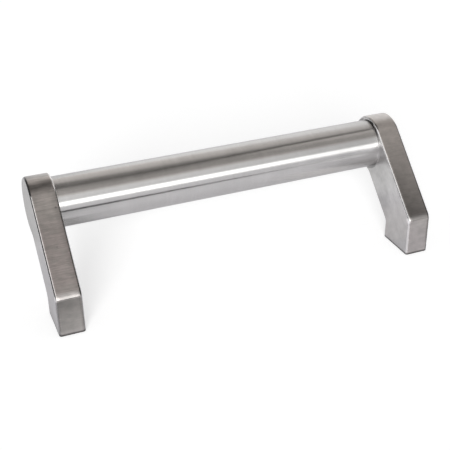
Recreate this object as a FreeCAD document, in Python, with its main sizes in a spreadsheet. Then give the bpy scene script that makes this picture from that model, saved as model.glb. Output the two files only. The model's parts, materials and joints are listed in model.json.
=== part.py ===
import FreeCAD, Part
import math
import os
import Sketcher

# Door pull handle: a straight round tube held off the door by two cast legs.
#
# Frame: the origin is midway between the two fixing holes, on the plane of the door's face.
# X runs along the tube, Y points the way the tube is cranked off the fixing holes, and Z points
# away from the door. All lengths are in millimetres and all angles in degrees.

DRIVING_SIZES = [
    # what the customer orders by
    ("hole_spacing", 220.0, "between the two fixing holes, along the tube"),
    ("tube_diameter", 30.0, "outside of the grip tube"),
    ("axis_height", 54.5, "from the door to the tube's axis"),
    ("axis_offset", 41.5, "from the fixing holes sideways to the tube's axis"),
    # the tube
    ("tube_wall", 1.5, "wall of the grip tube"),
    ("tube_edge_break", 0.3, "chamfer round the outside of each sawn tube end"),
    # the cast legs
    ("leg_thickness", 15.0, "leg, across its two flat sides"),
    ("head_rim", 2.5, "how far the round head stands out past the tube"),
    ("foot_depth", 27.0, "foot, from front to back on the door"),
    ("foot_front_height", 24.0, "from the door to the crisp edge above the foot's front"),
    ("foot_back_height", 12.0, "from the door to the kink at the back"),
    ("front_kink_radius", 8.0, "rounding between that edge and the arm's front"),
    ("front_edge_angle", 19.0, "turn that the crisp edge leaves sharp, in degrees"),
    ("back_kink_radius", 3.0, "rounding of the back kink"),
    ("neck_radius", 8.0, "hollow where the arm's back runs into the head"),
    ("side_edge_radius", 1.5, "rounding of the outline edges on both flat sides"),
    ("foot_edge_break", 0.4, "chamfer round the face that lies on the door"),
    # the spigots inside the tube
    ("spigot_length", 26.0, "how far a spigot reaches into the tube"),
    ("spigot_clearance", 0.1, "gap all round between spigot and tube"),
    ("spigot_lead_in", 1.5, "chamfer on the spigot's end"),
    # the tapped fixing holes
    ("thread_diameter", 8.0, "outer diameter of the thread in the foot"),
    ("thread_depth", 18.0, "full depth of the threaded hole"),
    ("drill_point_angle", 118.0, "cone at the bottom of the hole"),
    # the slotted spring pins
    ("pin_diameter", 4.0, "spring pin, once it is driven home"),
    ("pin_clearance", 0.02, "gap all round between pin and hole"),
    ("pin_wall", 0.8, "strip that the pin is rolled from"),
    ("pin_slot", 0.9, "slot left open along the pin"),
    ("pin_length", 14.0, "spring pin, end to end"),
    ("pin_recess", 0.3, "pin end below the tube's surface"),
    ("pin_bottom_gap", 1.0, "room left in the spigot's hole beyond the pin"),
    ("pin_edge_break", 0.4, "chamfer on both ends of the pin"),
    ("pin_from_head", 13.0, "from the head's inner face to the pin"),
]

Z_AXIS = FreeCAD.Vector(0, 0, 1)
ON_PLANE = 1e-4
START, END, CENTRE = 1, 2, 3
SKETCH_ORIGIN = (-1, START)

doc = FreeCAD.newDocument("door_pull_handle")


# The sheet of driving sizes

sheet = doc.addObject("Spreadsheet::Sheet", "sizes")
for row, (alias, value, meaning) in enumerate(DRIVING_SIZES, start=1):
    sheet.set(f"A{row}", meaning)
    sheet.set(f"B{row}", str(value))
    sheet.setAlias(f"B{row}", alias)
doc.recompute()


# Small helpers for bodies, sketches and edges

def new_body(label, x="0", y="0", z="0"):
    """Starts a sub-part whose place is worked out from the sheet."""
    body = doc.addObject("PartDesign::Body", label)
    body.Label = label
    body.setExpression("Placement.Base.x", x)
    body.setExpression("Placement.Base.y", y)
    body.setExpression("Placement.Base.z", z)
    return body


def new_sketch(body, name, plane_role):
    """Puts a sketch flat on one of the body's own origin planes."""
    sketch = body.newObject("Sketcher::SketchObject", name)
    plane = next(item for item in body.Origin.OriginFeatures if item.Role == plane_role)
    sketch.AttachmentSupport = (plane, [""])
    sketch.MapMode = "FlatFace"
    return sketch


def new_feature(body, kind, name, **settings):
    """Adds a feature; a text setting that names the sheet becomes an expression."""
    feature = body.newObject("PartDesign::" + kind, name)
    for key, value in settings.items():
        if isinstance(value, str) and "sizes." in value:
            feature.setExpression(key, value)
        else:
            setattr(feature, key, value)
    doc.recompute()
    body.Tip = feature
    return feature


def size_constraint(sketch, name, expression, *definition):
    """Adds a dimension to a sketch and ties it to the sheet."""
    index = sketch.addConstraint(Sketcher.Constraint(*definition))
    sketch.renameConstraint(index, name)
    sketch.setExpression("Constraints." + name, expression)


def line(sketch, x1, y1, x2, y2):
    start = FreeCAD.Vector(x1, y1, 0)
    end = FreeCAD.Vector(x2, y2, 0)
    return sketch.addGeometry(Part.LineSegment(start, end), False)


def arc(sketch, centre, radius, first_angle, last_angle):
    """An arc drawn counterclockwise between two angles in radians."""
    ring = Part.Circle(FreeCAD.Vector(*centre, 0), Z_AXIS, radius)
    return sketch.addGeometry(Part.ArcOfCircle(ring, first_angle, last_angle), False)


def circle(sketch, name, radius, guess, x=None, y=None):
    """A circle tied to the sheet, on the sketch's origin where x and y aren't given.

    guess is the centre and radius with which it is first drawn.
    """
    centre = FreeCAD.Vector(guess[0], guess[1], 0)
    ring = sketch.addGeometry(Part.Circle(centre, Z_AXIS, guess[2]), False)
    size_constraint(sketch, name + "_radius", radius, "Radius", ring, guess[2])
    if x is None:
        join(sketch, (ring, CENTRE, *SKETCH_ORIGIN))
        return
    size_constraint(sketch, name + "_x", x, "DistanceX", *SKETCH_ORIGIN, ring, CENTRE, guess[0])
    size_constraint(sketch, name + "_y", y, "DistanceY", *SKETCH_ORIGIN, ring, CENTRE, guess[1])


def join(sketch, *pairs):
    """Makes the end of one line or arc the start of the next."""
    for first, first_end, second, second_end in pairs:
        sketch.addConstraint(Sketcher.Constraint("Coincident", first, first_end, second, second_end))


def edges_where(feature, test):
    """Names the edges of a feature's shape that pass a test."""
    return [f"Edge{number}" for number, edge in enumerate(feature.Shape.Edges, start=1) if test(edge)]


def all_points(edge, test):
    """True where the edge's two ends and its middle all pass the test."""
    middle = edge.valueAt((edge.FirstParameter + edge.LastParameter) / 2)
    return test(middle) and all(test(vertex.Point) for vertex in edge.Vertexes)


def cross_edge(feature, corner):
    """The edge that runs across the leg at one corner of its profile."""
    def at_corner(point):
        return abs(point.y - corner.x) < ON_PLANE and abs(point.z - corner.y) < ON_PLANE
    return edges_where(feature, lambda edge: all_points(edge, at_corner))


# The legs: each is one casting with a foot, a slanting arm, a round head and a spigot

def leg_profile(body):
    """The leg's side view: foot, arm tangent to the round head, and a back parallel to its front.

    The arm's front rolls over towards the foot and ends there in a crisp edge.
    """
    offset = sheet.axis_offset
    height = sheet.axis_height
    radius = sheet.tube_diameter / 2 + sheet.head_rim
    half_foot = sheet.foot_depth / 2
    front = sheet.foot_front_height
    back = sheet.foot_back_height
    kink_radius = sheet.front_kink_radius
    edge_turn = math.radians(sheet.front_edge_angle)

    # where the parts are first drawn, before the constraints hold them
    kink_centre = (-half_foot + kink_radius * math.cos(edge_turn),
                   front - kink_radius * math.sin(edge_turn))
    reach = (offset - kink_centre[0], height - kink_centre[1])
    slope = math.atan2(reach[1], reach[0]) + math.asin((radius - kink_radius) / math.hypot(*reach))
    front_way = slope + math.pi / 2
    arm_foot = (kink_centre[0] + kink_radius * math.cos(front_way),
                kink_centre[1] + kink_radius * math.sin(front_way))
    arm_top = (offset + radius * math.cos(front_way), height + radius * math.sin(front_way))
    back_from_axis = (height - back) * math.cos(slope) - (offset - half_foot) * math.sin(slope)
    neck_way = slope - math.pi / 2 - math.acos(back_from_axis / radius)
    neck = (offset + radius * math.cos(neck_way), height + radius * math.sin(neck_way))

    sketch = new_sketch(body, "side_view", "YZ_Plane")
    foot_front = line(sketch, -half_foot, 0, -half_foot, front)
    front_kink = arc(sketch, kink_centre, kink_radius, front_way, math.pi - edge_turn)
    arm_front = line(sketch, *arm_foot, *arm_top)
    head = arc(sketch, (offset, height), radius, neck_way, front_way)
    arm_back = line(sketch, *neck, half_foot, back)
    foot_back = line(sketch, half_foot, back, half_foot, 0)
    sole = line(sketch, half_foot, 0, -half_foot, 0)

    join(sketch, (foot_front, END, front_kink, END), (head, START, arm_back, START),
         (arm_back, END, foot_back, START), (foot_back, END, sole, START),
         (sole, END, foot_front, START))
    sketch.addConstraint(Sketcher.Constraint("Tangent", front_kink, START, arm_front, START))
    sketch.addConstraint(Sketcher.Constraint("Tangent", arm_front, END, head, END))
    sketch.addConstraint(Sketcher.Constraint("Parallel", arm_front, arm_back))
    sketch.addConstraint(Sketcher.Constraint("Vertical", foot_front))
    sketch.addConstraint(Sketcher.Constraint("Vertical", foot_back))
    sketch.addConstraint(Sketcher.Constraint("Horizontal", sole))
    sketch.addConstraint(Sketcher.Constraint("Symmetric", sole, START, sole, END, *SKETCH_ORIGIN))

    size_constraint(sketch, "depth", "sizes.foot_depth",
                    "DistanceX", sole, END, sole, START, 2 * half_foot)
    size_constraint(sketch, "front", "sizes.foot_front_height",
                    "DistanceY", foot_front, START, foot_front, END, front)
    size_constraint(sketch, "back", "sizes.foot_back_height",
                    "DistanceY", foot_back, END, foot_back, START, back)
    size_constraint(sketch, "kink", "sizes.front_kink_radius", "Radius", front_kink, kink_radius)
    size_constraint(sketch, "edge_turn", "sizes.front_kink_radius * sin(sizes.front_edge_angle)",
                    "DistanceY", front_kink, CENTRE, foot_front, END, front - kink_centre[1])
    size_constraint(sketch, "offset", "sizes.axis_offset",
                    "DistanceX", *SKETCH_ORIGIN, head, CENTRE, offset)
    size_constraint(sketch, "height", "sizes.axis_height",
                    "DistanceY", *SKETCH_ORIGIN, head, CENTRE, height)
    size_constraint(sketch, "head", "sizes.tube_diameter / 2 + sizes.head_rim",
                    "Radius", head, radius)
    doc.recompute()
    corners = {
        "back_kink": sketch.Geometry[arm_back].EndPoint,
        "neck": sketch.Geometry[arm_back].StartPoint,
    }
    return sketch, corners


def cast_leg(label, side):
    """One leg. side is -1 for the left one and +1 for the right; its spigot points to the middle."""
    body = new_body(label, x=f"{side} * sizes.hole_spacing / 2")
    profile, corners = leg_profile(body)
    casting = new_feature(body, "Pad", "arm_and_head", Profile=profile, SideType="Symmetric",
                          Length="sizes.leg_thickness")

    for name, corner in corners.items():
        casting = new_feature(body, "Fillet", name + "_rounding",
                              Base=(casting, cross_edge(casting, corner)),
                              Radius=f"sizes.{name}_radius")

    half = sheet.leg_thickness / 2
    def on_flat_side(point):
        return abs(abs(point.x) - half) < ON_PLANE
    def on_sole(point):
        return abs(point.z) < ON_PLANE
    outline = edges_where(casting, lambda edge: all_points(edge, on_flat_side)
                          and not all_points(edge, on_sole))
    casting = new_feature(body, "Fillet", "side_edges", Base=(casting, outline),
                          Radius="sizes.side_edge_radius")
    sole_edges = edges_where(casting, lambda edge: all_points(edge, on_sole))
    new_feature(body, "Chamfer", "sole_edges", Base=(casting, sole_edges),
                Size="sizes.foot_edge_break")

    add_spigot(body, side)
    drill_pin_hole(body, side)
    tap_foot(body)
    return body


def add_spigot(body, side):
    """The stub that the tube slides over, with a lead-in on its end."""
    radius = "sizes.tube_diameter / 2 - sizes.tube_wall - sizes.spigot_clearance"
    sketch = new_sketch(body, "spigot_section", "YZ_Plane")
    circle(sketch, "spigot", radius, (sheet.axis_offset, sheet.axis_height, sheet.tube_diameter / 2),
           "sizes.axis_offset", "sizes.axis_height")
    doc.recompute()
    stub = new_feature(body, "Pad", "spigot", Profile=sketch, Reversed=side > 0,
                       Length="sizes.leg_thickness / 2 + sizes.spigot_length")
    reach = -side * (sheet.leg_thickness / 2 + sheet.spigot_length)
    def on_end(point):
        return abs(point.x - reach) < ON_PLANE
    rim = edges_where(stub, lambda edge: all_points(edge, on_end))
    new_feature(body, "Chamfer", "spigot_end", Base=(stub, rim), Size="sizes.spigot_lead_in")


def drill_pin_hole(body, side):
    """The blind cross hole for the spring pin, drilled from the door's side."""
    sketch = new_sketch(body, "pin_hole_place", "XY_Plane")
    circle(sketch, "pin_hole", "sizes.pin_diameter / 2 + sizes.pin_clearance",
           (-side * sheet.leg_thickness, sheet.axis_offset, sheet.pin_diameter / 2),
           f"{-side} * (sizes.leg_thickness / 2 + sizes.pin_from_head)", "sizes.axis_offset")
    doc.recompute()
    top_of_hole = ("sizes.axis_height - sizes.tube_diameter / 2 + sizes.pin_recess"
                   " + sizes.pin_length + sizes.pin_bottom_gap")
    new_feature(body, "Pocket", "pin_hole", Profile=sketch, Reversed=True, Length=top_of_hole)


def tap_foot(body):
    """The blind threaded hole for the door bolt; the thread's own ridges are left plain here."""
    sketch = new_sketch(body, "fixing_hole_place", "XY_Plane")
    circle(sketch, "fixing_hole", "sizes.thread_diameter / 2", (0, 0, sheet.thread_diameter / 2))
    doc.recompute()
    new_feature(body, "Hole", "fixing_hole", Profile=sketch, Reversed=True, Threaded=False,
                Diameter="sizes.thread_diameter", DepthType="Dimension",
                Depth="sizes.thread_depth", DrillPoint="Angled",
                DrillPointAngle="sizes.drill_point_angle")


# The grip: one length of thin-walled tube between the two heads

def grip_tube():
    body = new_body("grip_tube")
    section = new_sketch(body, "tube_section", "YZ_Plane")
    centre = (sheet.axis_offset, sheet.axis_height)
    outer_radius = sheet.tube_diameter / 2
    circle(section, "outside", "sizes.tube_diameter / 2", (*centre, outer_radius),
           "sizes.axis_offset", "sizes.axis_height")
    circle(section, "inside", "sizes.tube_diameter / 2 - sizes.tube_wall",
           (*centre, outer_radius - sheet.tube_wall), "sizes.axis_offset", "sizes.axis_height")
    doc.recompute()
    tube = new_feature(body, "Pad", "tube", Profile=section, SideType="Symmetric",
                       Length="sizes.hole_spacing - sizes.leg_thickness")

    half = (sheet.hole_spacing - sheet.leg_thickness) / 2
    def on_outer_rim(point):
        from_axis = FreeCAD.Vector(0, point.y - centre[0], point.z - centre[1]).Length
        return abs(abs(point.x) - half) < ON_PLANE and abs(from_axis - outer_radius) < ON_PLANE
    rims = edges_where(tube, lambda edge: all_points(edge, on_outer_rim))
    new_feature(body, "Chamfer", "end_edges", Base=(tube, rims), Size="sizes.tube_edge_break")

    places = new_sketch(body, "pin_hole_places", "XY_Plane")
    pin_x = "(sizes.hole_spacing / 2 - sizes.leg_thickness / 2 - sizes.pin_from_head)"
    for name, side in (("left", -1), ("right", 1)):
        circle(places, name, "sizes.pin_diameter / 2 + sizes.pin_clearance",
               (side * (half - sheet.pin_from_head), centre[0], sheet.pin_diameter / 2),
               f"{side} * {pin_x}", "sizes.axis_offset")
    doc.recompute()
    new_feature(body, "Pocket", "pin_holes", Profile=places, Reversed=True,
                Length="sizes.axis_height")
    return body


# The slotted spring pins: one through the tube into each spigot, on the side that faces the door

def spring_pin(label, side):
    """A strip rolled to a C section, with both ends chamfered."""
    body = new_body(label,
                    x=f"{side} * (sizes.hole_spacing / 2 - sizes.leg_thickness / 2"
                      " - sizes.pin_from_head)",
                    y="sizes.axis_offset",
                    z="sizes.axis_height - sizes.tube_diameter / 2 + sizes.pin_recess")
    outer = sheet.pin_diameter / 2
    inner = outer - sheet.pin_wall
    half_slot = sheet.pin_slot / 2
    outer_lip = math.asin(half_slot / outer)
    inner_lip = math.asin(half_slot / inner)
    sketch = new_sketch(body, "rolled_section", "XY_Plane")
    outside = arc(sketch, (0, 0), outer, outer_lip, 2 * math.pi - outer_lip)
    inside = arc(sketch, (0, 0), inner, inner_lip, 2 * math.pi - inner_lip)
    upper_lip = line(sketch, inner, half_slot, outer, half_slot)
    lower_lip = line(sketch, outer, -half_slot, inner, -half_slot)
    join(sketch, (outside, CENTRE, *SKETCH_ORIGIN), (inside, CENTRE, *SKETCH_ORIGIN),
         (outside, START, upper_lip, END), (inside, START, upper_lip, START),
         (outside, END, lower_lip, START), (inside, END, lower_lip, END))
    sketch.addConstraint(Sketcher.Constraint("Horizontal", upper_lip))
    sketch.addConstraint(Sketcher.Constraint("Horizontal", lower_lip))
    size_constraint(sketch, "outside", "sizes.pin_diameter / 2", "Radius", outside, outer)
    size_constraint(sketch, "inside", "sizes.pin_diameter / 2 - sizes.pin_wall",
                    "Radius", inside, inner)
    size_constraint(sketch, "upper", "sizes.pin_slot / 2",
                    "DistanceY", *SKETCH_ORIGIN, upper_lip, START, half_slot)
    size_constraint(sketch, "lower", "sizes.pin_slot / 2",
                    "DistanceY", lower_lip, START, *SKETCH_ORIGIN, half_slot)
    doc.recompute()
    strip = new_feature(body, "Pad", "rolled_strip", Profile=sketch, Length="sizes.pin_length")

    def on_outer_wall(point):
        return abs(FreeCAD.Vector(point.x, point.y, 0).Length - outer) < ON_PLANE
    def is_end_rim(edge):
        level = all(abs(vertex.Point.z - edge.Vertexes[0].Point.z) < ON_PLANE
                    for vertex in edge.Vertexes)
        return level and all_points(edge, on_outer_wall)
    new_feature(body, "Chamfer", "end_edges", Base=(strip, edges_where(strip, is_end_rim)),
                Size="sizes.pin_edge_break")
    return body


subparts = [
    cast_leg("left_leg", -1),
    cast_leg("right_leg", 1),
    grip_tube(),
    spring_pin("left_pin", -1),
    spring_pin("right_pin", 1),
]
doc.recompute()


# Every feature has to be sound before a file is written

for item in doc.Objects:
    if "Invalid" in item.State or "Error" in item.State:
        raise RuntimeError(f"{item.Label} failed: {item.State}")
for body in subparts:
    if body.Shape.isNull() or not body.Shape.isValid() or len(body.Shape.Solids) != 1:
        raise RuntimeError(f"{body.Label} is not one valid solid")

os.makedirs("parts", exist_ok=True)
for body in subparts:
    body.Shape.exportStep(f"parts/{body.Label}.step")
    print(body.Label, round(body.Shape.Volume, 1), "mm3")
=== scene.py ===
import json
import math
import bmesh
import bpy
from mathutils import Matrix, Vector


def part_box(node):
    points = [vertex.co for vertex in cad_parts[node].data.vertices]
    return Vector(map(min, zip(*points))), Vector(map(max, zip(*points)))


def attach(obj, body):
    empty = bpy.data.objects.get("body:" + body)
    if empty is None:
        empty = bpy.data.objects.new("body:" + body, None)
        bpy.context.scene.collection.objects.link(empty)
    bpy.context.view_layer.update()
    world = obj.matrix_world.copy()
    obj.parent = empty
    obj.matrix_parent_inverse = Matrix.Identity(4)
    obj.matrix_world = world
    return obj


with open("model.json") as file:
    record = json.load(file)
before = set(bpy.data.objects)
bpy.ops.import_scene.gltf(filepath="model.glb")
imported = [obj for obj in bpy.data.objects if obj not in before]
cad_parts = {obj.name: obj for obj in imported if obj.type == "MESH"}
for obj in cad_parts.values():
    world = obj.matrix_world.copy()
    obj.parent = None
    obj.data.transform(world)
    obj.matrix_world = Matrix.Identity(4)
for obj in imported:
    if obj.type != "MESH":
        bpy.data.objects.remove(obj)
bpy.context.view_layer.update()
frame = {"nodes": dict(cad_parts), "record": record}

# The grip tube: one length of thin-walled stainless tube, brushed round its girth on a belt, so
# that reflections stay crisp across it and smear along it. It butts against both heads. The front
# of its right end carries a painted highlight, and its cut ends a thin painted highlight.

tube = frame["nodes"]["grip_tube"]
tube_low, tube_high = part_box("grip_tube")
tube_centre = (Vector(tube_low) + Vector(tube_high)) / 2
tube_colour = (0.604, 0.595, 0.588)
tube_grazing_tint = (0.78, 0.78, 0.78, 1.0)
tube_streak_strength = 0.5
tube_bump = 0.02
quarter_turn = 0.25

# a pair of numbers is where a change starts and ends, or how strong it is there
tube_streak_tone = (0.955, 1.045)
tube_mottle_tone = (0.96, 1.04)
tube_roughness = (0.245, 0.257)
# where the front of the right end gets its painted highlight
end_highlight_along = (0.078, 0.098)
end_highlight_above = (0.0490, 0.0520)
end_highlight_below = (0.0580, 0.0610)
end_highlight_share = 0.28
# the last fraction of a millimetre of each cut end gets a painted highlight
cut_end = (tube_high[0] - 0.0006, tube_high[0] - 0.0003)
cut_highlight_share = 0.7

noise_range = (0.3, 0.7)
fine_scratch_detail = 1.5
long_scratch_detail = 1.0
long_scratch_share = 0.3
scratch_roughness = 0.6
scratch_distortion = 1.5
streak_middle = 0.5
mottle_detail = 2.5
mottle_roughness = (-0.01, 0.01)
bump_distance = 0.00001


def feed(tree, socket, given):
    """Gives an input a plain value or another node's output."""
    if isinstance(given, bpy.types.NodeSocket):
        tree.links.new(given, socket)
    else:
        socket.default_value = given


def empty_material(name):
    """A node material, its tree, and the output that waits for a shader."""
    material = bpy.data.materials.new(name)
    material.use_nodes = True
    tree = material.node_tree
    tree.nodes.clear()
    out = tree.nodes.new("ShaderNodeOutputMaterial")
    return material, tree, out.inputs["Surface"]


def new_steel(name):
    """A material of bare metal, its tree and its Principled shader."""
    material, tree, surface = empty_material(name)
    steel = tree.nodes.new("ShaderNodeBsdfPrincipled")
    steel.inputs["Metallic"].default_value = 1.0
    tree.links.new(steel.outputs["BSDF"], surface)
    return material, tree, steel


def math_node(tree, kind, *given):
    """One Math node; each input is a number or another node's output."""
    node = tree.nodes.new("ShaderNodeMath")
    node.operation = kind
    for socket, value in zip(node.inputs, given):
        feed(tree, socket, value)
    return node.outputs["Value"]


def chain(tree, kind, first, *others):
    """Joins any number of values, such as by their product or their maximum."""
    for other in others:
        first = math_node(tree, kind, first, other)
    return first


def change(tree, mask, share):
    """A factor that is one, and one plus a share where the mask is full."""
    return math_node(tree, "MULTIPLY_ADD", mask, share, 1.0)


def spread(tree, value, strengths, places=noise_range):
    """Goes from a first to a last strength between two places of a value, and stays there."""
    node = tree.nodes.new("ShaderNodeMapRange")
    for name, number in zip(("From Min", "From Max", "To Min", "To Max"), (*places, *strengths)):
        node.inputs[name].default_value = number
    tree.links.new(value, node.inputs["Value"])
    return node.outputs["Result"]


def rise(tree, value, places):
    return spread(tree, value, (0.0, 1.0), places)


def fall(tree, value, places):
    return spread(tree, value, (1.0, 0.0), places)


def split(tree, vector):
    """The X, Y and Z of a vector."""
    node = tree.nodes.new("ShaderNodeSeparateXYZ")
    tree.links.new(vector, node.inputs["Vector"])
    return [node.outputs[axis] for axis in "XYZ"]


def joined(tree, *parts):
    """A vector from its X, Y and Z."""
    node = tree.nodes.new("ShaderNodeCombineXYZ")
    for socket, part in zip(node.inputs, parts):
        feed(tree, socket, part)
    return node.outputs["Vector"]


def shade(tree, colour, factor):
    """A colour made lighter or darker by a factor that changes over the surface."""
    node = tree.nodes.new("ShaderNodeVectorMath")
    node.operation = "SCALE"
    feed(tree, node.inputs[0], colour)
    tree.links.new(factor, node.inputs["Scale"])
    return node.outputs["Vector"]


def noise(tree, place, scale, detail, roughness=0.5, distortion=0.0):
    """A noise texture's value; left out, the last two are as Blender has them."""
    node = tree.nodes.new("ShaderNodeTexNoise")
    for name, given in (("Vector", place), ("Scale", scale), ("Detail", detail),
                        ("Roughness", roughness), ("Distortion", distortion)):
        feed(tree, node.inputs[name], given)
    return node.outputs["Fac"]


def grain_group():
    """Brushed steel: scratches that are long in the Y-Z plane of its coordinates, and a mottle."""
    tree = bpy.data.node_groups.new("steel_grain", "ShaderNodeTree")
    face = tree.interface
    face.new_socket("Across", in_out="INPUT", socket_type="NodeSocketVector")
    for name in ("Scratches per metre", "Scratch stretch", "Streak strength",
                 "Mottles per metre"):
        face.new_socket(name, in_out="INPUT", socket_type="NodeSocketFloat")
    for name in ("Scratches", "Streaks", "Mottle"):
        face.new_socket(name, in_out="OUTPUT", socket_type="NodeSocketFloat")
    given = tree.nodes.new("NodeGroupInput").outputs
    result = tree.nodes.new("NodeGroupOutput").inputs

    squeezed = tree.nodes.new("ShaderNodeVectorMath")
    squeezed.operation = "MULTIPLY"
    tree.links.new(given["Across"], squeezed.inputs[0])
    tree.links.new(joined(tree, 1.0, given["Scratch stretch"], given["Scratch stretch"]),
                   squeezed.inputs[1])
    place = squeezed.outputs["Vector"]
    fine = noise(tree, place, given["Scratches per metre"], fine_scratch_detail,
                 scratch_roughness, scratch_distortion)
    fewer = math_node(tree, "MULTIPLY", given["Scratches per metre"], long_scratch_share)
    long = noise(tree, place, fewer, long_scratch_detail, scratch_roughness, scratch_distortion)
    around_none = math_node(tree, "SUBTRACT", math_node(tree, "ADD", fine, long),
                            2 * streak_middle)
    streaks = math_node(tree, "MULTIPLY_ADD", around_none, given["Streak strength"],
                        streak_middle)
    mottle = noise(tree, given["Across"], given["Mottles per metre"], mottle_detail)
    for name, value in (("Scratches", fine), ("Streaks", streaks), ("Mottle", mottle)):
        tree.links.new(value, result[name])
    return tree


def place_group(tree, group, **values):
    """Puts a node group into a material and gives its inputs."""
    node = tree.nodes.new("ShaderNodeGroup")
    node.node_tree = group
    for name, value in values.items():
        feed(tree, node.inputs[name.replace("_", " ")], value)
    return node.outputs


def roughen(tree, steel, grain, roughness, bump_strength):
    """Gives a brushed steel its bump, and returns its roughness."""
    bump = tree.nodes.new("ShaderNodeBump")
    bump.inputs["Strength"].default_value = bump_strength
    bump.inputs["Distance"].default_value = bump_distance
    tree.links.new(grain["Streaks"], bump.inputs["Height"])
    tree.links.new(bump.outputs["Normal"], steel.inputs["Normal"])
    return math_node(tree, "ADD", spread(tree, grain["Streaks"], roughness),
                     spread(tree, grain["Mottle"], mottle_roughness))


steel_grain = grain_group()


def brushed_tube_steel():
    material, tree, steel = new_steel("brushed_tube_steel")
    place = tree.nodes.new("ShaderNodeTexCoord").outputs["Object"]
    along, _, height = split(tree, place)
    grain = place_group(tree, steel_grain, Across=place, Scratches_per_metre=2600.0,
                        Scratch_stretch=0.02, Streak_strength=tube_streak_strength,
                        Mottles_per_metre=90.0)
    # a painted highlight on the front of the right end
    end_highlight = chain(tree, "MULTIPLY", rise(tree, along, end_highlight_along),
                       rise(tree, height, end_highlight_above), fall(tree, height, end_highlight_below))
    cut_highlight = rise(tree, math_node(tree, "ABSOLUTE", along), cut_end)
    tone = chain(tree, "MULTIPLY", spread(tree, grain["Streaks"], tube_streak_tone),
                 spread(tree, grain["Mottle"], tube_mottle_tone),
                 change(tree, end_highlight, end_highlight_share), change(tree, cut_highlight, cut_highlight_share))
    tree.links.new(shade(tree, tube_colour, tone), steel.inputs["Base Color"])
    tree.links.new(roughen(tree, steel, grain, tube_roughness, tube_bump),
                   steel.inputs["Roughness"])
    girth = tree.nodes.new("ShaderNodeTangent")
    girth.direction_type = "RADIAL"
    girth.axis = "X"
    tree.links.new(girth.outputs["Tangent"], steel.inputs["Tangent"])
    steel.inputs["Anisotropic"].default_value = 1.0
    steel.inputs["Anisotropic Rotation"].default_value = quarter_turn
    steel.inputs["Specular Tint"].default_value = tube_grazing_tint
    return material


def dress(piece, material):
    piece.data.materials.clear()
    piece.data.materials.append(material)


dress(tube, brushed_tube_steel())

# The two legs: stainless castings, belt-ground after casting. The belt ran across the arm on the
# narrow face that follows the outline, and along the arm on both flat sides. Their rounded edges
# and single places carry painted highlights and painted shade, and painted shade at the top of
# the right head makes the joint with the tube look open.

legs = [frame["nodes"][name] for name in ("left_leg", "right_leg")]
outline_grey = (0.454, 0.436, 0.419, 1.0)
outline_pink = (0.472, 0.430, 0.419, 1.0)
flat_side_colour = (0.480, 0.472, 0.470, 1.0)
leg_streak_tone = (0.78, 1.22)
leg_mottle_tone = (0.92, 1.08)
leg_roughness = (0.295, 0.315)
edge_polish = -0.15
leg_bump = 0.05
streaks_right_left = (0.35, 1.0)
streaks_foot_arm = (0.15, 0.5)
pink_by_mottle = (0.4, 1.6)
pink_by_arm = (0.25, 0.90)

arm_slope = math.radians(45.2)
foot_top = 0.024
foot_fold = (0.022, 0.026)
under_arm = 0.0238
head_start = (0.0588, 0.0638)
round_start = 0.0668
over_joint = (0.0675, 0.0705)
flat_side_facing = 0.7
edge_from = (0.15, 0.45)
edge_to = (0.85, 0.99)
# the painted shade and painted highlight on the rounded edges
edge_tones = (-0.25, 0.5)
side_tint_facing = (0.2, 0.8)

tube_radius = (tube_high[2] - tube_low[2]) / 2
# a crescent of painted shade on the right head's inner face, round the top of the tube
joint_gap = 0.0016
joint_seen = 0.02
# radians round the tube's axis, from the back over the top
joint_opens = (1.15, 1.85)
joint_closes = (1.92, 2.06)
seat_ring_width = 0.0015
# painted shade along the soles, where the feet meet the floor
sole_shade_height = (0.0010, 0.0019)
sole_facing = -0.8
sole_shade_share = 0.75
darkest = -0.95
dark_spot_share = 0.42
point_core = 0.6
# small dark spots on the casting
small_dark_spots = [((-0.1096, 0.0071, 0.0447), 0.0007), ((-0.1050, 0.0230, 0.0607), 0.0008)]
# painted highlights at the ends of the front folds
fold_corner_highlights = [((0.1030, -0.0126, 0.0243), 0.0024, 0.50),
                  ((-0.1168, -0.0128, 0.0243), 0.0022, 0.55)]
# the painted shade band on the left head runs at a slant
shade_band_slant = (0.0013, 0.0)
shade_band_slant_x = (-0.1130, -0.1080)


def sloping(axis, start, end, first, last):
    """A limit of a mark: along an axis it goes from a first to a last strength."""
    return [(axis, (first, last), (start, end))]


def from_here(axis, start, end):
    return sloping(axis, start, end, 0.0, 1.0)


def up_to_here(axis, start, end):
    return sloping(axis, start, end, 1.0, 0.0)


def between(axis, low, high, fade):
    """Limits of a mark that lies between two places and has soft ends."""
    return (from_here(axis, low - fade, low + fade)
            + up_to_here(axis, high - fade, high + fade))


arm_limits = between("z", foot_top, round_start, 0.0008)
pink_limits = between("z", foot_top + 0.004, 0.054, 0.004)

left_outline = ("outline", "left_leg")
right_outline = ("outline", "right_leg")
right_inside = ("flat_side", "inner_side", "right_leg")
left_outside = ("flat_side", "outer_side", "left_leg")
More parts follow.
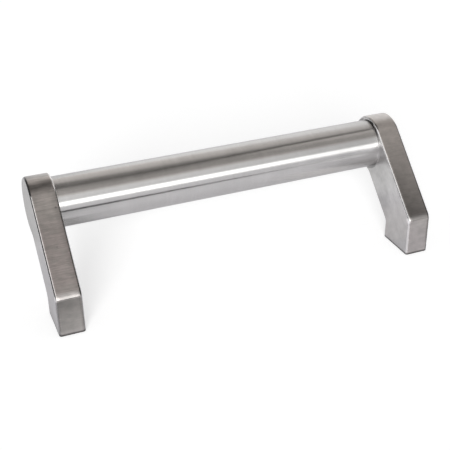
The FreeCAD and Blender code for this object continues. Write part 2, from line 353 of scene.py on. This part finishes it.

# each mark paints highlight or shade: its name, the regions that it lies in, its limits along
# axes, its share of the tone
leg_marks = [
    ("left_fold_shade", (*left_outline, "hole_side"), between("z", 0.0236, 0.0268, 0.0004), -0.12),
    ("right_fold_shade", (*right_outline, "hole_side"),
     between("z", 0.0236, 0.0268, 0.0004), -0.08),
    ("left_fold_glint", (*left_outline, "hole_side"), between("z", 0.0231, 0.0240, 0.0003), 0.60),
    ("under_right_fold_shade", right_outline, between("z", 0.0212, 0.0241, 0.0005), -0.12),
    ("left_foot_edge_shade", left_outline,
     from_here("x", -0.1048, -0.1036) + up_to_here("z", 0.0262, 0.0275), -0.30),
    ("right_foot_edge_shade", right_outline,
     from_here("x", 0.1151, 0.1161) + between("z", 0.008, foot_top, 0.002), -0.45),
    ("right_foot_corner_shade", right_outline,
     from_here("x", 0.1085, 0.1145) + between("z", 0.014, 0.0235, 0.003), -0.15),
    ("left_arm_light_slope", left_outline, sloping("x", -0.1170, -0.1040, -0.12, 0.08), 1.0),
    ("left_arm_edge_shade", (*left_outline, "arm"), from_here("x", -0.1068, -0.1028), -0.30),
    ("left_arm_top_light", left_outline, between("z", 0.058, 0.0675, 0.003), 0.12),
    ("left_head_edge_shade", left_outline,
     up_to_here("x", -0.1165, -0.1154) + from_here("z", 0.0665, 0.0700), -0.15),
    ("left_head_rim_shade", ("edge", "left_edge", "left_leg", "round_top"), [], -0.75),
    ("left_head_shade_band", (*left_outline, "round_top"),
     sloping("x", -0.1140, -0.1070, 0.5, 1.0) + between("shade_band_y", 0.0330, 0.0375, 0.0013), -0.45),
    ("right_arm_shade", (*right_outline, "past_foot"),
     sloping("z", 0.028, 0.064, 1.0, -0.35) + sloping("z", 0.0253, 0.0265, 0.55, 1.0), -0.53),
    ("right_arm_light_slope", right_outline,
     between("z", foot_top, 0.050, 0.004) + sloping("x", 0.1045, 0.1165, -0.10, 0.20), 1.0),
    ("right_arm_rim_highlight", ("edge", "left_edge", "right_leg", "arm"), [], 0.25),
    ("right_head_shade_band", right_outline, between("z", 0.0677, 0.0703, 0.0010), -0.16),
    ("right_joint_glint", ("left_edge", "right_leg"),
     between("z", 0.048, 0.068, 0.003) + between("sideways", 0.72, 0.985, 0.01), 0.60),
    ("seat_ring_light_and_shade", ("seat", "shut_joint", "beside_tube"),
     sloping("axis_y", -0.0143, -0.0115, 1.0, -1.5), 0.30),
    ("right_inside_light", right_inside,
     up_to_here("y", 0.009, 0.014) + sloping("z", 0.004, 0.030, 0.1, 1.0)
     + up_to_here("z", 0.036, 0.046), 0.24),
    ("right_inside_shade", right_inside,
     from_here("y", 0.014, 0.024) + between("z", 0.036, 0.047, 0.002), -0.14),
    ("left_outside_light", left_outside, from_here("z", 0.038, 0.050), 0.19),
    ("left_outside_foot_shade", left_outside, up_to_here("z", 0.003, 0.010), -0.20),
]


def over(tree, value, limit):
    return math_node(tree, "GREATER_THAN", value, limit)


def under(tree, value, limit):
    return math_node(tree, "LESS_THAN", value, limit)


def opposite(tree, mask):
    return math_node(tree, "SUBTRACT", 1.0, mask)


def near_point(tree, position, point, radius):
    """One at a point on the surface and none past a radius from it."""
    gap = tree.nodes.new("ShaderNodeVectorMath")
    gap.operation = "DISTANCE"
    gap.inputs[1].default_value = point
    tree.links.new(position, gap.inputs[0])
    return fall(tree, gap.outputs["Value"], (radius * point_core, radius))


def mixed(tree, kind, factor, first, second):
    """Goes from a first colour or vector to a second."""
    node = tree.nodes.new("ShaderNodeMix")
    node.data_type = kind
    for name, given in (("Factor", factor), ("A", first), ("B", second)):
        feed(tree, node.inputs[name], given)
    return node.outputs["Result"]


def within(tree, axes, limits, *masks):
    """The product of some masks and of a mark's limits."""
    slopes = [spread(tree, axes[axis], strengths, places) for axis, strengths, places in limits]
    return chain(tree, "MULTIPLY", *masks, *slopes)


def leg_regions(tree, place):
    """Values that grow along an axis of a leg, and masks of its regions, each by its name."""
    x, y, z = split(tree, place)
    normal = tree.nodes.new("ShaderNodeNewGeometry").outputs["Normal"]
    facing_x, _, facing_z = split(tree, normal)
    sideways = math_node(tree, "ABSOLUTE", facing_x)
    axis_y = math_node(tree, "SUBTRACT", y, tube_centre.y)
    axis_z = math_node(tree, "SUBTRACT", z, tube_centre.z)
    squares = math_node(tree, "MULTIPLY_ADD", axis_y, axis_y,
                        math_node(tree, "MULTIPLY", axis_z, axis_z))
    from_axis = math_node(tree, "SQRT", squares)
    round_axis = math_node(tree, "ARCTAN2", axis_z, axis_y)
    shade_band_y = math_node(tree, "ADD", y, spread(tree, x, shade_band_slant, shade_band_slant_x))
    axes = {"x": x, "y": y, "z": z, "facing_z": facing_z, "sideways": sideways,
            "axis_y": axis_y, "shade_band_y": shade_band_y}

    flat_side = over(tree, sideways, flat_side_facing)
    inner_side = under(tree, math_node(tree, "MULTIPLY", facing_x, x), 0.0)
    right_leg = over(tree, x, 0.0)
    right_edge = over(tree, facing_x, 0.0)
    seat = math_node(tree, "MULTIPLY", flat_side, inner_side)
    opening = chain(tree, "MULTIPLY", right_leg, rise(tree, round_axis, joint_opens),
                    fall(tree, round_axis, joint_closes))
    gap_end = math_node(tree, "MULTIPLY_ADD", opening, joint_gap, tube_radius)
    regions = {
        "flat_side": flat_side,
        "outline": opposite(tree, flat_side),
        "inner_side": inner_side,
        "outer_side": opposite(tree, inner_side),
        "right_leg": right_leg,
        "left_leg": opposite(tree, right_leg),
        "edge": math_node(tree, "MULTIPLY", rise(tree, sideways, edge_from),
                          fall(tree, sideways, edge_to)),
        "right_edge": right_edge,
        "left_edge": opposite(tree, right_edge),
        "hole_side": under(tree, y, 0.0),
        "past_foot": over(tree, z, under_arm),
        "foot": under(tree, z, foot_top),
        "arm": within(tree, axes, arm_limits),
        "head": rise(tree, z, head_start),
        "above_joint": rise(tree, z, over_joint),
        "round_top": over(tree, z, round_start),
        "seat": seat,
        "shut_joint": under(tree, opening, joint_seen),
        "beside_tube": under(tree, from_axis, tube_radius + seat_ring_width),
        "joint_gap_shade": chain(tree, "MULTIPLY", seat, over(tree, opening, joint_seen),
                            under(tree, from_axis, gap_end)),
    }
    return axes, regions


def edge_light_and_shade(tree, regions):
    """The rounded edges: painted highlights on some, painted shade on the others."""
    def all_of(*names):
        return chain(tree, "MULTIPLY", *(regions[name] for name in names))
    edge_shade = math_node(tree, "MAXIMUM", all_of("right_edge", "foot"),
                          all_of("left_edge", "above_joint"))
    edge_highlight = chain(tree, "MAXIMUM",
                   math_node(tree, "MULTIPLY", regions["right_leg"], opposite(tree, edge_shade)),
                   all_of("left_leg", "left_edge", "arm"), all_of("left_leg", "right_edge", "head"))
    return change(tree, regions["edge"], spread(tree, edge_highlight, edge_tones, (0.0, 1.0)))


def light_and_shade_tone(tree, place, axes, regions):
    """Painted highlights and painted shade at single places of the legs, and small dark spots."""
    factors = [edge_light_and_shade(tree, regions)]
    for mark, inside, limits, share in leg_marks:
        mask = within(tree, axes, limits, *(regions[region] for region in inside))
        factor = change(tree, mask, share)
        factor.node.label = mark
        factors.append(factor)
    for point, radius, share in fold_corner_highlights:
        factors.append(change(tree, near_point(tree, place, point, radius), share))

    sole_shade = chain(tree, "MULTIPLY", fall(tree, axes["z"], sole_shade_height),
                      over(tree, axes["facing_z"], sole_facing), sole_shade_share)
    dark_spots = [math_node(tree, "MULTIPLY", near_point(tree, place, point, radius), dark_spot_share)
            for point, radius in small_dark_spots]
    # painted shade in the joint and along the soles, and the small dark spots
    dark = chain(tree, "MAXIMUM", regions["joint_gap_shade"], sole_shade, *dark_spots)
    return chain(tree, "MULTIPLY", *factors, change(tree, dark, darkest))


def grinding_direction(tree, place, flat_side):
    """Coordinates for the grain: along the arm on the flat sides, across it on the outline."""
    x, y, z = split(tree, place)
    across_arm = joined(tree, math_node(tree, "ADD", z, y), x, z)
    turned = tree.nodes.new("ShaderNodeMapping")
    turned.inputs["Rotation"].default_value = (-arm_slope, 0.0, 0.0)
    tree.links.new(place, turned.inputs["Vector"])
    along_arm = joined(tree, *reversed(split(tree, turned.outputs["Vector"])))
    return mixed(tree, "VECTOR", flat_side, across_arm, along_arm)


def ground_casting_steel():
    material, tree, steel = new_steel("ground_casting_steel")
    place = tree.nodes.new("ShaderNodeTexCoord").outputs["Object"]
    axes, regions = leg_regions(tree, place)
    strength = math_node(tree, "MULTIPLY",
                         spread(tree, regions["left_leg"], streaks_right_left, (0.0, 1.0)),
                         spread(tree, axes["z"], streaks_foot_arm, foot_fold))
    grain = place_group(tree, steel_grain, Scratches_per_metre=1800.0, Scratch_stretch=0.08,
                        Across=grinding_direction(tree, place, regions["flat_side"]),
                        Streak_strength=strength, Mottles_per_metre=240.0)

    pink_arm = within(tree, axes, pink_limits, regions["left_leg"])
    pinkness = math_node(tree, "MULTIPLY", spread(tree, grain["Mottle"], pink_by_mottle),
                         spread(tree, pink_arm, pink_by_arm, (0.0, 1.0)))
    outline_colour = mixed(tree, "RGBA", pinkness, outline_grey, outline_pink)
    colour = mixed(tree, "RGBA", rise(tree, axes["sideways"], side_tint_facing),
                   outline_colour, flat_side_colour)
    tone = chain(tree, "MULTIPLY", spread(tree, grain["Streaks"], leg_streak_tone),
                 spread(tree, grain["Mottle"], leg_mottle_tone),
                 light_and_shade_tone(tree, place, axes, regions))
    tree.links.new(shade(tree, colour, tone), steel.inputs["Base Color"])
    ground = roughen(tree, steel, grain, leg_roughness, leg_bump)
    polished = math_node(tree, "MULTIPLY_ADD", regions["edge"], edge_polish, ground)
    tree.links.new(polished, steel.inputs["Roughness"])
    return material


casting_steel = ground_casting_steel()
for leg in legs:
    dress(leg, casting_steel)

# The threads in the feet: a metric thread of 8 mm, cut into the casting with a tap. Each ridge
# winds up the plain hole of the foot and fades out at both ends.

thread_outer_radius = 0.0040
thread_inner_radius = 0.0034
thread_pitch = 0.00125
thread_start = 0.0004
thread_turns = 12
steps_per_turn = 48
fading_turns = 0.75
half_root = thread_pitch * 0.44
half_crest = thread_pitch * 0.12


def wind_thread(name, hole_x):
    """A helical ridge whose section is a V with a flat crest."""
    mesh = bmesh.new()
    rings = []
    for step in range(thread_turns * steps_per_turn + 1):
        turn = step / steps_per_turn
        angle = 2 * math.pi * turn
        fade = min(1.0, turn / fading_turns, (thread_turns - turn) / fading_turns)
        crest = thread_outer_radius - (thread_outer_radius - thread_inner_radius) * fade
        middle = thread_start + thread_pitch * (turn + 0.5)
        ring = []
        for radius, lift in ((thread_outer_radius, -half_root), (crest, -half_crest),
                             (crest, half_crest), (thread_outer_radius, half_root)):
            place = (hole_x + radius * math.cos(angle), radius * math.sin(angle), middle + lift)
            ring.append(mesh.verts.new(place))
        rings.append(ring)
    for here, after in zip(rings, rings[1:]):
        for side in range(len(here)):
            across = (side + 1) % len(here)
            mesh.faces.new((here[side], here[across], after[across], after[side]))
    mesh.faces.new(rings[0][::-1])
    mesh.faces.new(rings[-1])
    bmesh.ops.recalc_face_normals(mesh, faces=mesh.faces)
    data = bpy.data.meshes.new(name)
    mesh.to_mesh(data)
    mesh.free()
    piece = bpy.data.objects.new(name, data)
    bpy.context.scene.collection.objects.link(piece)
    return piece


hole_mounts = [mount for mount in frame["record"]["mounts"] if mount["kind"] == "threaded_hole"]
for mount in hole_mounts:
    thread = wind_thread(mount["name"] + "_ridge", mount["pos_m"][0])
    dress(thread, casting_steel)
    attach(thread, "root")

# The spring pins: spring steel strip rolled to a slotted tube and driven flush through the grip
# tube into each spigot, on the side that faces the door.

pin_colour = (0.40, 0.385, 0.37)
pin_mottle_tone = (0.85, 1.1)
pin_roughness = (0.28, 0.42)


def spring_pin_steel():
    material, tree, steel = new_steel("spring_pin_steel")
    place = tree.nodes.new("ShaderNodeTexCoord").outputs["Object"]
    grain = place_group(tree, steel_grain, Across=place, Scratches_per_metre=4000.0,
                        Scratch_stretch=0.05, Mottles_per_metre=600.0)
    tone = spread(tree, grain["Mottle"], pin_mottle_tone)
    tree.links.new(shade(tree, pin_colour, tone), steel.inputs["Base Color"])
    tree.links.new(spread(tree, grain["Scratches"], pin_roughness), steel.inputs["Roughness"])
    return material


pin_steel = spring_pin_steel()
for name in ("left_pin", "right_pin"):
    dress(frame["nodes"][name], pin_steel)

# The floor: a plain pale board on which the feet stand. It looks white to the camera where no
# shadow falls, and can be seen through from below, so that the feet's undersides show.

floor_reach = 3.0
floor_mirrored_colour = (0.862, 0.852, 0.880, 1.0)
floor_seen_colour = (0.60, 0.60, 0.60, 1.0)
floor_seen_glow = 0.565
front_glow = 0.176
middle_glow = 0.096
back_glow = 0.286
front_ends = (-0.02, 0.02)
back_starts = (0.07, 0.12)


def add_card(name, corners, material):
    """A flat or folded sheet of the studio, from its corners four by four."""
    data = bpy.data.meshes.new(name)
    faces = [tuple(range(first, first + 4)) for first in range(0, len(corners), 4)]
    data.from_pydata(corners, [], faces)
    data.materials.append(material)
    card = bpy.data.objects.new(name, data)
    bpy.context.scene.collection.objects.link(card)
    return card


def glowing_board(tree, colour, strength):
    """Matt paint with a light of its own."""
    paint = tree.nodes.new("ShaderNodeBsdfDiffuse")
    paint.inputs["Color"].default_value = colour
    light = tree.nodes.new("ShaderNodeEmission")
    feed(tree, light.inputs["Strength"], strength)
    both = tree.nodes.new("ShaderNodeAddShader")
    tree.links.new(paint.outputs["BSDF"], both.inputs[0])
    tree.links.new(light.outputs["Emission"], both.inputs[1])
    return both.outputs["Shader"]


def mixed_shaders(tree, factor, first, second):
    node = tree.nodes.new("ShaderNodeMixShader")
    for socket, given in zip(node.inputs, (factor, first, second)):
        tree.links.new(given, socket)
    return node.outputs["Shader"]


def floor_material():
    material, tree, surface = empty_material("pale_board")
    path = tree.nodes.new("ShaderNodeLightPath").outputs
    place = tree.nodes.new("ShaderNodeNewGeometry").outputs
    depth = split(tree, place["Position"])[1]
    # in reflections the board has a painted light of its own: dimmer in the middle, brightest
    # behind
    glow_over_depth = math_node(
        tree, "ADD", spread(tree, depth, (front_glow, middle_glow), front_ends),
        spread(tree, depth, (0.0, back_glow - middle_glow), back_starts))
    reflected = math_node(tree, "MAXIMUM", path["Is Glossy Ray"], path["Is Transmission Ray"])
    mirrored = glowing_board(tree, floor_mirrored_colour,
                             math_node(tree, "MULTIPLY", reflected, glow_over_depth))
    seen = glowing_board(tree, floor_seen_colour, floor_seen_glow)
    from_above = mixed_shaders(tree, path["Is Camera Ray"], mirrored, seen)
    clear = tree.nodes.new("ShaderNodeBsdfTransparent")
    either_side = mixed_shaders(tree, place["Backfacing"], from_above, clear.outputs["BSDF"])
    tree.links.new(either_side, surface)
    return material


add_card("floor", [(-floor_reach, -floor_reach, 0.0), (floor_reach, -floor_reach, 0.0),
                   (floor_reach, floor_reach, 0.0), (-floor_reach, floor_reach, 0.0)],
         floor_material())

# The light tent: a plain canopy arched over the handle, pale behind it, dim and a little warm
# overhead, with plain cards and boards in it. Steel shows them as its soft bands and lines; the
# camera and the floor don't see them.

warm = (1.0, 0.95, 0.91)
plain = (1.0, 1.0, 1.0)
cool = (1.0, 0.98, 1.02)
rosy = (1.0, 0.98, 0.985)
tent_radius = 1.2
panel_radius = 1.18
softbox_radius = 1.16
near_radius = 0.30
half_circle = 180.0
tent_left = -1.5
tent_right = 2.2
tent_steps = 60
card_steps = 12
board_height = 0.0006

# each band: degrees from behind the tube over its top to the front, brightness, tint
tent_bands = [(0.0, 1.02, plain), (15.0, 1.08, plain), (27.0, 1.04, plain), (36.0, 0.93, warm),
              (44.0, 0.80, warm), (52.0, 0.69, warm), (60.0, 0.64, warm), (72.0, 0.58, warm),
              (86.0, 0.40, warm), (100.0, 0.30, warm), (112.0, 0.31, warm), (123.0, 0.37, warm),
              (131.0, 0.74, warm), (138.0, 1.00, plain), (146.0, 1.02, plain), (160.0, 0.95, plain),
              (half_circle, 0.95, plain)]

# each card: name, brightness, tint, first and last angle at its left and right end, X, radius
arched_cards = [
    ("tent_seam_left", 0.155, warm, (60.0, 86.5), (97.0, 97.0), (-0.20, 0.10), near_radius),
    ("tent_seam_right", 0.13, warm, (86.5, 85.0), (97.0, 92.0), (0.10, 0.26), near_radius),
    ("tent_fold", 0.13, warm, (97.0, 97.0), (117.0, 97.0), (-0.045, 0.18), near_radius),
    ("left_head_panel", 0.58, warm, (101.0, 101.0), (123.0, 123.0), (-0.30, -0.045), near_radius),
    ("right_fold_light", 0.88, warm, (97.0, 92.0), (97.0, 117.0), (0.10, 0.26), near_radius),
    ("right_head_panel", 0.49, warm, (101.0, 101.0), (120.0, 120.0), (0.26, 0.60), near_radius),
    ("back_panel", 1.14, plain, (8.0, 8.0), (31.0, 54.0), (-0.03, 0.22), near_radius),
    ("right_back_panel", 1.02, plain, (8.0, 8.0), (54.0, 74.0), (0.22, 0.42), near_radius),
    ("left_back_panel", 0.86, plain, (0.0, 0.0), (34.0, 34.0), (-0.25, -0.03), near_radius),
    ("softbox_rim", 1.6, plain, (157.5, 157.5), (179.0, 179.0), (-1.0, 0.66), panel_radius),
    ("front_softbox", 2.9, plain, (161.0, 161.0), (175.5, 175.5), (-1.0, 0.66), softbox_radius),
    ("right_top_panel", 0.55, warm, (79.0, 79.0), (118.0, 118.0), (0.75, 2.2), panel_radius),
    ("right_front_flag", 0.40, plain, (128.0, 128.0), (178.0, 178.0), (0.78, 2.2), panel_radius),
    ("left_panel", 1.35, plain, (105.0, 105.0), (150.0, 150.0), (tent_left, -0.5), panel_radius),
]

# each flag: name, brightness, X and Y of its two upright edges, height of its bottom and top
standing_flags = [
    ("left_flag", 0.02, (-0.36, -0.16), (-0.36, 0.30), (0.001, 0.19)),
    ("right_flag", 0.02, (1.0, -0.9), (1.0, 0.35), (0.001, 1.0)),
    ("back_left_flag", 0.09, (-1.3, 0.95), (-0.22, 0.95), (0.02, 0.75)),
]

# each board: name, brightness, tint, X of its ends, Y of its near and far edge at both ends
# the boards show in steel only: the dim ones near the feet are painted shade, the bright ones
# painted light
floor_boards = [
    ("board_edge", 0.0, plain, (-0.35, 0.14), (-0.1745, -0.112), (-0.0465, -0.109)),
    ("board_edge_right", 0.0, plain, (0.14, 0.45), (-0.120, -0.400), (-0.107, -0.215)),
    ("left_foot_far_shade", 0.32, plain, (-0.140, -0.088), (-0.075, -0.075), (-0.044, -0.044)),
    ("left_foot_middle_shade", 0.44, plain, (-0.140, -0.088), (-0.044, -0.044), (-0.034, -0.034)),
    ("left_foot_near_shade", 0.64, plain, (-0.140, -0.088), (-0.034, -0.034), (-0.017, -0.017)),
    ("left_foot_gap", 0.46, plain, (-0.1015, -0.080), (0.002, 0.002), (0.060, 0.060)),
    ("right_foot_gap", 0.10, plain, (0.1185, 0.160), (-0.016, -0.016), (0.030, 0.030)),
    ("right_foot_shade", 0.74, cool, (0.104, 0.145), (-0.058, -0.058), (-0.016, -0.016)),
    ("right_front_board", 1.12, plain, (0.132, 0.260), (-0.106, -0.106), (-0.016, -0.016)),
    ("right_inner_board", 0.80, rosy, (0.060, 0.1005), (0.004, 0.004), (0.045, 0.045)),
    ("left_back_board", 0.68, plain, (-0.220, -0.118), (0.095, 0.095), (0.220, 0.220)),
    ("back_board", 1.04, plain, (-0.03, 0.115), (0.066, 0.066), (0.200, 0.200)),
]


def glow(name, strength, colour=plain):
    material, tree, surface = empty_material(name)
    light = tree.nodes.new("ShaderNodeEmission")
    light.inputs["Color"].default_value = (*colour, 1.0)
    light.inputs["Strength"].default_value = strength
    tree.links.new(light.outputs["Emission"], surface)
    return material


def tent_material():
    """Brightness by the angle round the tube's axis, from behind over the top to the front."""
    brightest = max(level for _, level, _ in tent_bands)
    material = glow("light_tent", brightest)
    tree = material.node_tree
    light = next(node for node in tree.nodes if node.type == "EMISSION")
    where = tree.nodes.new("ShaderNodeNewGeometry")
    _, y, z = split(tree, where.outputs["Position"])
    depth = math_node(tree, "SUBTRACT", y, tube_centre.y)
    height = math_node(tree, "SUBTRACT", z, tube_centre.z)
    turn = math_node(tree, "MULTIPLY", math_node(tree, "ARCTAN2", height, depth), 1.0 / math.pi)
    ramp = tree.nodes.new("ShaderNodeValToRGB")
    stops = ramp.color_ramp.elements
    for degrees, _, _ in tent_bands[1:-1]:
        stops.new(degrees / half_circle)
    for stop, (_, level, tint) in zip(stops, tent_bands):
        stop.color = (*(part * level / brightest for part in tint), 1.0)
    tree.links.new(turn, ramp.inputs["Fac"])
    tree.links.new(ramp.outputs["Color"], light.inputs["Color"])
    return material


def arched_card(name, material, first_angles, last_angles, ends, radius, steps):
    """A card bent round the tube's axis."""
    def arch_point(end, share):
        degrees = first_angles[end] + (last_angles[end] - first_angles[end]) * share
        angle = math.radians(degrees)
        return (ends[end], tube_centre.y + radius * math.cos(angle),
                tube_centre.z + radius * math.sin(angle))
    corners = []
    for step in range(steps):
        here, after = step / steps, (step + 1) / steps
        corners += [arch_point(0, here), arch_point(1, here),
                    arch_point(1, after), arch_point(0, after)]
    return add_card(name, corners, material)


def standing_flag(name, material, first, last, heights):
    bottom, top = heights
    return add_card(name, [(*first, bottom), (*last, bottom), (*last, top), (*first, top)],
                    material)


def floor_board(name, material, ends, near, far):
    left, right = ends
    return add_card(name, [(left, near[0], board_height), (right, near[1], board_height),
                           (right, far[1], board_height), (left, far[0], board_height)], material)


studio = [arched_card("light_tent", tent_material(), (0.0, 0.0), (half_circle, half_circle),
                      (tent_left, tent_right), tent_radius, tent_steps)]
for name, level, tint, *shape in arched_cards:
    studio.append(arched_card(name, glow(name, level, tint), *shape, card_steps))
for name, level, *shape in standing_flags:
    studio.append(standing_flag(name, glow(name, level), *shape))
for name, level, tint, *shape in floor_boards:
    studio.append(floor_board(name, glow(name, level, tint), *shape))
for card in studio:
    card.visible_camera = False
    card.visible_diffuse = False
    card.visible_shadow = False
    card.visible_transmission = False

# The lamp: a wide soft light from low in front on the left, which lays the handle's faint shadow
# behind it on the board. Steel shows the tent and its softbox in its place.

lamp_towards = Vector((-0.425, -0.842, 0.333))
lamp_strength = 3.2
lamp_width = math.radians(25.0)

lamp_data = bpy.data.lights.new("soft_lamp", "SUN")
lamp_data.energy = lamp_strength
lamp_data.angle = lamp_width
lamp = bpy.data.objects.new("soft_lamp", lamp_data)
lamp.rotation_euler = lamp_towards.to_track_quat("Z", "Y").to_euler()
lamp.visible_glossy = False
bpy.context.scene.collection.objects.link(lamp)

# The room round it all: plain walls far away. The camera and reflections see them as white, while
# the light that they add to the handle is dim.

room_level = 0.44

room = bpy.data.worlds.new("room")
room.use_nodes = True
room_tree = room.node_tree
room_tree.nodes.clear()
room_out = room_tree.nodes.new("ShaderNodeOutputWorld")
room_light = room_tree.nodes.new("ShaderNodeBackground")
room_light.inputs["Color"].default_value = (*plain, 1.0)
room_path = room_tree.nodes.new("ShaderNodeLightPath").outputs
seen_white = chain(room_tree, "MAXIMUM", room_path["Is Camera Ray"], room_path["Is Glossy Ray"],
                   room_path["Is Transmission Ray"])
room_strength = spread(room_tree, seen_white, (room_level, 1.0), (0.0, 1.0))
room_tree.links.new(room_strength, room_light.inputs["Strength"])
room_tree.links.new(room_light.outputs["Background"], room_out.inputs["Surface"])
bpy.context.scene.world = room

# The camera: it stands in front of the handle, to the left and above, and looks down at it
# through a long lens.

camera_place = Vector((-0.18049, -0.42613, 0.29543))
camera_azimuth = math.radians(-21.398)
camera_elevation = math.radians(29.085)
camera_roll = math.radians(-1.093)
camera_sensor = 36.0
camera_lens = 72.72
nearest_seen = 0.01

camera_data = bpy.data.cameras.new("camera")
camera_data.sensor_width = camera_sensor
camera_data.lens = camera_lens
camera_data.clip_start = nearest_seen
camera = bpy.data.objects.new("camera", camera_data)
backwards = Vector((math.sin(camera_azimuth) * math.cos(camera_elevation),
                    -math.cos(camera_azimuth) * math.cos(camera_elevation),
                    math.sin(camera_elevation)))
level_view = backwards.to_track_quat("Z", "Y").to_matrix().to_4x4()
camera.matrix_world = (Matrix.Translation(camera_place) @ level_view
                       @ Matrix.Rotation(camera_roll, 4, "Z"))
bpy.context.scene.collection.objects.link(camera)
bpy.context.scene.camera = camera
bpy.context.scene.view_settings.view_transform = "Standard"
